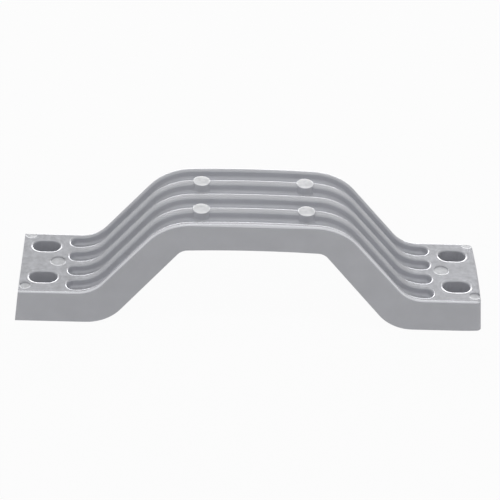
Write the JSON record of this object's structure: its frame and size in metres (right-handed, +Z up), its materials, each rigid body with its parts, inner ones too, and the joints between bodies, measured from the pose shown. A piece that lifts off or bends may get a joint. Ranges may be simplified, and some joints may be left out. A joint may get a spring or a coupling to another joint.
{
  "type": "sacrificial anode",
  "caption": "Cast sacrificial anode: a fluted, flat-topped bridge on sloping legs, with two flat slotted feet that bolt to the submerged metal it protects.",
  "frame": {"origin": "midway between the feet and between the front and back faces, level with the soles", "axes": "+X along the bridge from foot to foot, towards the end with the slightly curved face; +Z up, away from the surface the feet bolt to"},
  "size_m": [0.2096, 0.044, 0.0556],
  "materials": {
    "anode_alloy": "satin, as cast"
  },
  "bodies": {
    "root": {"anode_casting": "anode_alloy"}
  },
  "joints": []
}
